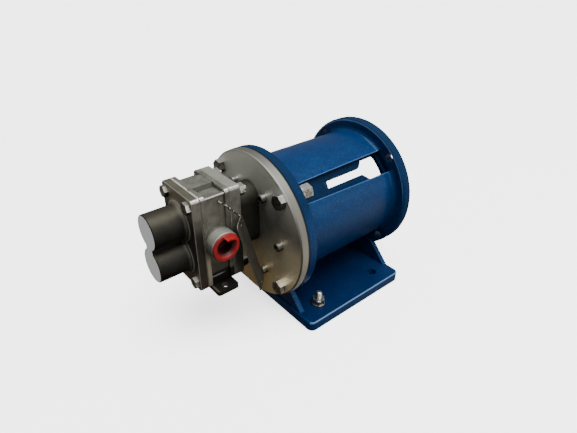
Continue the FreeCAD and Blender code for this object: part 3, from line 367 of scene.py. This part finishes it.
def body_tones(f, middle_part, shaded_pad_slope):
    """Painted light on the lower front flange and the port bosses, painted shade on the neck, the lower sides
    and the pad slope, a painted warm reflection low down, a painted highlight along the rear top edge. Gives
    back the pits.
    """
    # Painted light on the lower part of the front flange's sides
    lit_front_flange = f.x.step(cover_back_x - 0.2, cover_back_x + 0.2)
    lit_front_flange = lit_front_flange * f.x.step(body_flange_end_x + 0.4, body_flange_end_x) * f.z.step(120.0, 92.0)
    on_side = abs(f.y).step(casing_half_width - 0.4, casing_half_width - 0.1)
    f.over((176, 166, 146), lit_front_flange * on_side * 0.7)
    # Painted light on the port bosses
    lit_boss = abs(f.y).step(casing_half_width + 0.6, casing_half_width + 2.0)
    lit_boss = lit_boss * f.x.step(cover_back_x + 1.0, cover_back_x + 2.0)
    f.over((166, 168, 160), lit_boss * f.z.step(foot_top_z + 2.4, foot_top_z + 4.4) * 0.45)
    # Painted shade on the neck
    neck = f.x.step(neck_start_x + 0.1, neck_start_x + 0.9)
    f.over((36, 35, 28), neck * 0.9)
    pits = f.cells(3.6).step(0.12, 0.05)
    f.over((50, 45, 40), pits * 0.4)
    # Painted warm reflection towards the bottom
    low = f.z.step(96.0, 64.0)
    f.over((84, 70, 54), low * 0.4)
    # Painted shade on the pad's slope
    f.over((30, 28, 24), shaded_pad_slope * f.slanted() * 0.85)
    # Painted shade on the lower sides of the body's middle
    shaded_low_side = middle_part * f.z.step(110.0, 88.0) * abs(f.y).step(casing_half_width, casing_half_width - 1.0)
    f.over((48, 42, 34), shaded_low_side * 0.6)
    # Painted highlight along the rear top edge
    rear_top_highlight = f.x.step(body_back_x - 0.1, body_back_x + 0.3)
    f.over((168, 168, 160), rear_top_highlight * f.z.step(casing_top_z - 1.05, casing_top_z - 0.25) * 0.5)
    return pits


def foot_tones(f, middle_part):
    """Near-black feet with a dark root up the body's side, a painted highlight at the bend and a bare hole.
    """
    foot = f.z.step(foot_top_z + 0.9, foot_top_z - 0.6) * f.x.step(neck_start_x + 0.5, neck_start_x - 0.5)
    root = middle_part * f.x.step(body_flange_end_x - 0.1, body_flange_end_x + 0.5) * f.z.step(85.5, 81.5)
    along = f.x - foot_hole_x
    across = abs(f.y) - foot_hole_y
    from_hole = (along * along + across * across).node("SQRT")
    foot = foot.node("MAXIMUM", root) * from_hole.step(foot_hole_radius, foot_hole_radius + 0.4)
    f.over((16, 14, 11), foot * 0.92)
    # Painted highlight along the bend
    bend = root * f.z.step(78.0, 78.8) * f.z.step(80.4, 79.6) * f.x.step(-138.0, -148.0)
    f.over((190, 190, 196), bend * 0.6)


def cast_stainless():
    """Blasted stainless casting: fine pebbled skin, pale edges that are partly wear and partly painted
    highlight, a ground face on the nose's tip.
    """
    f = Finish("cast_stainless_skin")
    grain = f.noise(0.8, 4.0, 0.65)
    lumps = f.noise(9.0, 3.0)
    f.coat((118, 117, 110), (98, 95, 87), lumps.step(0.35, 0.7))
    middle_part = f.x.step(cover_back_x - 0.4, cover_back_x + 0.4)
    middle_part = middle_part * f.x.step(body_back_x + 0.4, body_back_x - 0.4)
    shaded_pad_slope = middle_part * f.z.step(160.0, 163.0) * f.y.step(-10.2, -9.8) * f.y.step(-5.4, -5.9)
    front_cover_tones(f)
    pits = body_tones(f, middle_part, shaded_pad_slope)
    foot_tones(f, middle_part)

    # Pale edges, partly wear and partly painted highlight
    wear_and_highlight = f.slanted() * (1.0 - middle_part * abs(f.nx).step(0.2, 0.35)) * (1.0 - shaded_pad_slope)
    corner = wear_and_highlight * f.x.step(cover_front_x - 1.5, cover_front_x - 0.5)
    corner = corner * f.x.step(neck_start_x + 0.5, neck_start_x - 0.2)
    corner = corner * abs(f.y).step(casing_half_width + 2.0, casing_half_width + 1.7)
    f.over((206, 203, 196), corner * (0.6 - f.x.step(body_back_x - 0.5, body_back_x + 0.5) * 0.25))
    ground = f.nx.step(-0.85, -0.97) * f.x.step(nose_tip_x + 0.9, nose_tip_x + 0.3)
    f.over((246, 248, 249), ground)
    skin = 1.0 - ground
    f.bump(lumps * skin, 0.06)
    f.bump(grain * skin, 0.05)
    f.bump((1.0 - pits) * skin, 0.04)
    return f.done(0.50 + grain * 0.14 - ground * 0.10 - corner * 0.20, 0.8 - ground * 0.68)


def bright_stainless():
    """Fastener stainless: short scratches, darker patches, painted shade on facets below and painted light on
    those above.
    """
    f = Finish("bright_stainless_fasteners")
    scratches = f.noise(0.5, 2.0, 0.6, f.stretched(1.0, 0.12, 0.7))
    cloud = f.noise(6.0, 2.0)
    f.coat((158, 156, 149), (130, 126, 117), cloud.step(0.35, 0.7))
    patches = f.noise(4.5, 1.0).step(0.48, 0.62)
    f.over((74, 70, 62), patches * 0.65)
    # Painted shade on facets turned down, painted light on facets turned up
    shade_below = f.nz.step(0.25, -0.4)
    f.over((54, 50, 42), shade_below * 0.85)
    light_above = f.nz.step(0.55, 0.9)
    f.over((214, 214, 208), light_above * 0.6)
    f.bump(scratches, 0.01)
    return f.done(0.21 + cloud * 0.14 + scratches * 0.06, 0.97)


def wire_steel():
    """Stained steel wire: dark skin with a bright crown here and there."""
    f = Finish("stained_wire_steel")
    stain = f.noise(1.6, 2.0)
    f.coat((150, 146, 138), (30, 28, 26), stain.step(0.42, 0.56))
    f.bump(stain, 0.02)
    return f.done(0.3 + stain * 0.2, 0.9)


def red_plastic():
    """Moulded red plastic: soft sheen, faint flow marks, painted shade inside its mouth."""
    f = Finish("red_moulded_plastic")
    flow = f.noise(5.0, 2.0, 0.5, f.stretched(1.0, 0.4, 1.0))
    skin = f.noise(0.6, 2.0)
    f.coat((138, 2, 7), (112, 1, 5), flow.step(0.3, 0.7))
    # Painted shade inside the mouth
    mouth_shade = f.y.step(-43.2, -40.5)
    f.over((30, 0, 3), mouth_shade * 0.9)
    f.bump(flow, 0.06)
    f.bump(skin, 0.02)
    return f.done(0.42 + skin * 0.1)


def dark_tag_metal():
    """Thin dark metal: long scuffs, pale edges as a painted highlight, handling smears."""
    f = Finish("dark_tag_metal")
    scuffs = f.noise(1.1, 3.0, 0.6, f.stretched(1.0, 1.0, 0.12))
    smears = f.noise(12.0, 3.0)
    f.coat((66, 64, 60), (84, 78, 68), smears.step(0.35, 0.75))
    f.over((122, 116, 106), scuffs.step(0.66, 0.78) * 0.4)
    facing_x, facing_y, facing_z = -0.646, 0.735, -0.208
    flat_side = abs(f.nx * facing_x + f.ny * facing_y + f.nz * facing_z)
    # Painted highlight on the tag's edges
    f.over((150, 146, 138), flat_side.step(0.8, 0.5) * 0.7)
    f.bump(scuffs, 0.02)
    f.bump(smears, 0.12)
    return f.done(0.36 + smears * 0.18, 0.7)


def soft_solid(name, light, dark, size, rough, metallic=0.0):
    """A hidden piece's material: two close tones, a fine grain and a slow cloud."""
    f = Finish(name)
    grain = f.noise(size / 8)
    f.coat(light, dark, f.noise(size).step(0.35, 0.7))
    f.bump(grain, 0.03)
    return f.done(rough + grain * 0.1, metallic)


def floor_white():
    """Pale studio sweep with a barely visible tooth."""
    f = Finish("studio_floor")
    tooth = f.noise(6.0)
    f.coat((250, 250, 250), (244, 245, 246), tooth)
    f.bump(tooth, 0.02)
    f.shader.inputs["Emission Color"].default_value = white + (1.0,)
    f.shader.inputs["Emission Strength"].default_value = 2.0
    return f.done(0.8 + tooth * 0.05)


finishes = {
    "blue_paint": blue_paint(),
    "machined_stainless": machined_stainless(),
    "cast_stainless": cast_stainless(),
    "bright_stainless": bright_stainless(),
    "wire_steel": wire_steel(),
    "red_plastic": red_plastic(),
    "dark_tag_metal": dark_tag_metal(),
    "ptfe": soft_solid("ptfe_white", (226, 224, 216), (206, 203, 194), 6.0, 0.42),
    "peek": soft_solid("peek_tan", (176, 150, 112), (154, 128, 92), 7.0, 0.38),
    "carbon": soft_solid("carbon_black", (44, 44, 46), (26, 26, 28), 4.0, 0.48),
    "magnet_alloy": soft_solid("magnet_alloy", (96, 97, 100), (72, 72, 76), 5.0, 0.4, 0.8),
}

for entry in frame["record"]["subparts"]:
    for mesh_slot in nodes[entry["node"]].material_slots:
        mesh_slot.material = finishes[entry["material_slot"]]


def band_faces(rows, columns):
    """Four-cornered faces between neighbouring rows of a grid whose columns close round."""
    i, j = np.meshgrid(np.arange(rows - 1), np.arange(columns), indexing="ij")
    k = (j + 1) % columns
    corners = (i * columns + j, i * columns + k, (i + 1) * columns + k, (i + 1) * columns + j)
    return np.stack(corners, axis=2).reshape(-1, 4)


def closed_skin(name, points, finish, body):
    """A grid of points (rows along u, columns around v) as one closed skin with a pole at each end."""
    rows, columns = points.shape[:2]
    first_pole = rows * columns
    j = np.arange(columns)
    k = (j + 1) % columns
    last_row = first_pole - columns
    near_end = np.stack([np.full(columns, first_pole), k, j], axis=1)
    far_end = np.stack([np.full(columns, first_pole + 1), last_row + j, last_row + k], axis=1)
    faces = band_faces(rows, columns).tolist() + near_end.tolist() + far_end.tolist()
    places = np.vstack([points.reshape(-1, 3), points[0].mean(0), points[-1].mean(0)])
    mesh = bpy.data.meshes.new(name)
    mesh.from_pydata(places.tolist(), [], faces)
    mesh.polygons.foreach_set("use_smooth", [True] * len(mesh.polygons))
    mesh.validate()
    mesh.materials.append(finishes[finish])
    piece = bpy.data.objects.new(name, mesh)
    bpy.context.scene.collection.objects.link(piece)
    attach(piece, body)
    return piece


def run_length(path):
    """Distance along a path at each of its points."""
    return np.concatenate([[0.0], np.cumsum(np.linalg.norm(np.diff(path, axis=0), axis=1))])


def bent_path(corners, bend, spacing):
    """Straight runs joined by quadratic bends, (1-t)^2 a + 2t(1-t) corner + t^2 b, at even spacing."""
    corners = np.array(corners, float)
    t = np.linspace(0.0, 1.0, 9)[:, None]
    points = [corners[:1]]
    for before, corner, after in zip(corners, corners[1:], corners[2:]):
        a = corner + (before - corner) / np.linalg.norm(before - corner) * bend
        b = corner + (after - corner) / np.linalg.norm(after - corner) * bend
        points.append((1 - t) ** 2 * a + 2 * t * (1 - t) * corner + t ** 2 * b)
    points = np.vstack(points + [corners[-1:]])
    lengths = run_length(points)
    steps = np.linspace(0.0, lengths[-1], max(8, int(lengths[-1] / spacing)))
    return np.stack([np.interp(steps, lengths, points[:, axis]) for axis in range(3)], axis=1)


def carried_frames(path):
    """Two directions across a path, carried along it without twisting."""
    tangents = np.gradient(path, axis=0)
    tangents /= np.linalg.norm(tangents, axis=1)[:, None]
    side = np.cross(tangents[0], (0.0, 0.0, 1.0))
    sides = []
    for tangent in tangents:
        side = side - tangent * side.dot(tangent)
        side /= np.linalg.norm(side)
        sides.append(side)
    sides = np.array(sides)
    return sides, np.cross(tangents, sides)


def round_strand(path, radius):
    """Points p(u, v) = path(u) + radius (cos v side(u) + sin v up(u)), with 12 points around."""
    sides, ups = carried_frames(path)
    v = np.linspace(0.0, 2 * math.pi, 12, endpoint=False)[None, :, None]
    return path[:, None] + radius * (np.cos(v) * sides[:, None] + np.sin(v) * ups[:, None])


def screw_thread(centre, z_low, z_high, radius, pitch):
    """Thread along Z: r(u, v) = radius - depth |2 frac(z/pitch - v/2pi) - 1|, narrowed over its last turn."""
    depth = 0.55 * pitch
    points_around = 36
    rows_per_turn = 10
    tip_slope = 0.8
    z = np.linspace(z_low, z_high, int((z_high - z_low) / pitch * rows_per_turn) + 2)[:, None]
    v = np.linspace(0.0, 2 * math.pi, points_around, endpoint=False)[None, :]
    phase = (z / pitch - v / (2 * math.pi)) % 1.0
    r = radius - depth * np.abs(2 * phase - 1)
    r = np.minimum(r, radius - np.maximum(0.0, z - (z_high - pitch)) * tip_slope)
    return np.stack([centre[0] + r * np.cos(v), centre[1] + r * np.sin(v), z + 0 * r], axis=2)


# Camera at the photograph's viewing angle: its place in metres, its three angles and the lens in pixels
image_width, image_height = 577, 433
focal_px = 433.603
centre_px = (264.022, 224.347)
sensor_mm = 36.0
camera_place = Vector((-0.31787, -0.33149, 0.36023))
yaw, pitch, roll = [math.radians(a) for a in (-36.834, 32.682, -1.185)]

back = Vector((math.sin(yaw) * math.cos(pitch), -math.cos(yaw) * math.cos(pitch), math.sin(pitch)))
right = (-back).cross(Vector((0, 0, 1))).normalized()
up = right.cross(-back)
right_rolled = right * math.cos(roll) + up * math.sin(roll)
up_rolled = up * math.cos(roll) - right * math.sin(roll)
turn = Matrix((right_rolled, up_rolled, back)).transposed()
camera_data = bpy.data.cameras.new("camera")
camera_data.sensor_width = sensor_mm
camera_data.lens = focal_px / image_width * sensor_mm
camera_data.shift_x = (image_width / 2 - centre_px[0]) / image_width
camera_data.shift_y = (centre_px[1] - image_height / 2) / image_width
camera_data.clip_start = 0.01
camera = bpy.data.objects.new("camera", camera_data)
camera.matrix_world = Matrix.Translation(camera_place) @ turn.to_4x4()
bpy.context.scene.collection.objects.link(camera)
bpy.context.scene.camera = camera


def soft_light(name, place, width, power):
    """A large square lamp aimed at the middle of the object."""
    data = bpy.data.lights.new(name, "AREA")
    data.size = width
    data.energy = power
    lamp = bpy.data.objects.new(name, data)
    lamp.location = place
    object_middle = Vector((0.0, 0.0, 0.09))
    lamp.rotation_euler = (object_middle - Vector(place)).to_track_quat("-Z", "Y").to_euler()
    bpy.context.scene.collection.objects.link(lamp)


sky_data = bpy.data.lights.new("overhead_softbox", "SUN")
sky_data.energy = 6.5
sky_data.angle = math.radians(50.0)
sky_data.color = (0.985, 1.0, 0.965)
sky = bpy.data.objects.new("overhead_softbox", sky_data)
sky.rotation_euler = Vector((0.02, -0.22, 1.0)).to_track_quat("Z", "Y").to_euler()
bpy.context.scene.collection.objects.link(sky)
soft_light("left_front", (-1.1, -0.1, 0.55), 0.6, 0.6)
soft_light("right_front", (0.2, -1.2, 0.6), 0.5, 4.6)
soft_light("right_side", (0.62, -0.80, 0.33), 0.35, 1.3)

# Studio around the object: a tone for each height, and a brighter wall in the direction bright_wall
world = bpy.data.worlds.new("studio")
world.use_nodes = True
air = world.node_tree
direction = air.nodes.new("ShaderNodeTexCoord").outputs["Generated"]
level_tones = ((0.07, (0.03, 0.024, 0.017)), (0.19, (0.16, 0.13, 0.08)), (0.34, (0.38, 0.37, 0.33)),
               (0.56, (0.30, 0.31, 0.32)), (0.90, (0.52, 0.54, 0.58)))
layers = air.nodes.new("ShaderNodeValToRGB")
layers.color_ramp.interpolation = "EASE"
for _ in level_tones[2:]:
    layers.color_ramp.elements.new(0.5)
for element, (level, tone) in zip(layers.color_ramp.elements, level_tones):
    element.position = level
    element.color = tone + (1.0,)
parts = air.nodes.new("ShaderNodeSeparateXYZ")
height = air.nodes.new("ShaderNodeMapRange")
height.inputs["From Min"].default_value = -1.0
height.inputs["From Max"].default_value = 1.0
bright_wall = (0.65, -0.66, -0.36)
facing_wall = air.nodes.new("ShaderNodeVectorMath")
facing_wall.operation = "DOT_PRODUCT"
facing_wall.inputs[1].default_value = bright_wall
wall_light = air.nodes.new("ShaderNodeMapRange")
wall_light.interpolation_type = "SMOOTHSTEP"
for name, number in (("From Min", 0.88), ("From Max", 0.98), ("To Min", 0.7), ("To Max", 3.6)):
    wall_light.inputs[name].default_value = number
background = air.nodes["Background"]
air.links.new(direction, parts.inputs[0])
air.links.new(parts.outputs["Z"], height.inputs["Value"])
air.links.new(height.outputs["Result"], layers.inputs["Fac"])
air.links.new(layers.outputs["Color"], background.inputs["Color"])
air.links.new(direction, facing_wall.inputs[0])
air.links.new(facing_wall.outputs["Value"], wall_light.inputs["Value"])
air.links.new(wall_light.outputs["Result"], background.inputs["Strength"])
bpy.context.scene.world = world

# Floor and backdrop in one, in metres: a flat disc, a round at its edge, and a wall up from there
floor_reach, bend_radius, wall_top, points_around = 9.0, 3.0, 9.0, 96
bends = np.linspace(0.0, math.pi / 2, 13)
profile_r = np.append(floor_reach + bend_radius * np.sin(bends), floor_reach + bend_radius)
profile_z = np.append(bend_radius * (1 - np.cos(bends)), wall_top)
turns = np.linspace(0.0, 2 * math.pi, points_around, endpoint=False)
sweep = np.stack([np.outer(profile_r, np.cos(turns)), np.outer(profile_r, np.sin(turns)),
                  np.outer(profile_z, np.ones(points_around))], axis=2)
inner_faces = band_faces(len(profile_r), points_around)[:, ::-1]
floor_mesh = bpy.data.meshes.new("studio_floor")
floor_mesh.from_pydata(sweep.reshape(-1, 3).tolist(), [], [list(range(points_around))] + inner_faces.tolist())
floor_mesh.polygons.foreach_set("use_smooth", [False] + [True] * len(inner_faces))
floor_mesh.materials.append(floor_white())
floor = bpy.data.objects.new("studio_floor", floor_mesh)
bpy.context.scene.collection.objects.link(floor)
floor.visible_glossy = False
floor.visible_diffuse = False
floor.visible_shadow = False

# Twisted wire: two strands wound about the pair's path, one of them running on through the tag's hole
tag_turn = (Matrix.Rotation(math.radians(-13.5), 3, "Y") @ Matrix.Rotation(math.radians(-4.5), 3, "X")
            @ Matrix.Rotation(math.radians(43.0), 3, "Z"))
tag_hole_top = Vector((-126.0, -36.7, 137.5))
wire_root = (-141.5, -25.4, 162.6)
wire_elbow = (-141.5, -33.0, 162.6)
hook_reach, hook_drop, pair_rise = 3.0, 1.05, 7.0
strand_radius, strand_offset, twist_pitch = 0.52, 0.6, 5.2


def beside_tag(out, rise):
    """A place beside the tag, in its own frame and in millimetres from the top of its hole."""
    return tuple(tag_hole_top + tag_turn @ Vector((0.0, out, rise)))


pair_path = bent_path([wire_root, wire_elbow, beside_tag(-hook_reach, pair_rise)], 3.0, 0.35)
pair_sides, pair_ups = carried_frames(pair_path)


def wound(phase):
    """Path of one strand: pair(u) + offset (cos(2 pi s/pitch + phase) side + sin(...) up)."""
    angle = (2 * math.pi * run_length(pair_path) / twist_pitch + phase)[:, None]
    return pair_path + strand_offset * (np.cos(angle) * pair_sides + np.sin(angle) * pair_ups)


hook_path = bent_path([wound(0.0)[-1], beside_tag(-hook_reach, -hook_drop),
                       beside_tag(hook_reach, -hook_drop)], 2.0, 0.3)
through_tag = np.vstack([wound(0.0), hook_path[1:]])
first_strand = closed_skin("wire_strand_through_tag", round_strand(through_tag, strand_radius) * MM,
                           "wire_steel", "casing")
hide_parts("tag_wire")
closed_skin("wire_strand_wound", round_strand(wound(math.pi), strand_radius) * MM, "wire_steel",
            "casing")

# Threaded stud in the near front base hole, 5/16 inch with 18 threads to the inch
near_front_hole = (-46.0, -70.0)
stud_low, stud_top, stud_radius, stud_pitch = 1.0, 29.0, 3.96875, 1.411
stud_points = screw_thread(near_front_hole, stud_low, stud_top, stud_radius, stud_pitch)
stud = closed_skin("base_stud_threaded", stud_points * MM, "bright_stainless", "casing")
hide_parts("base_stud")
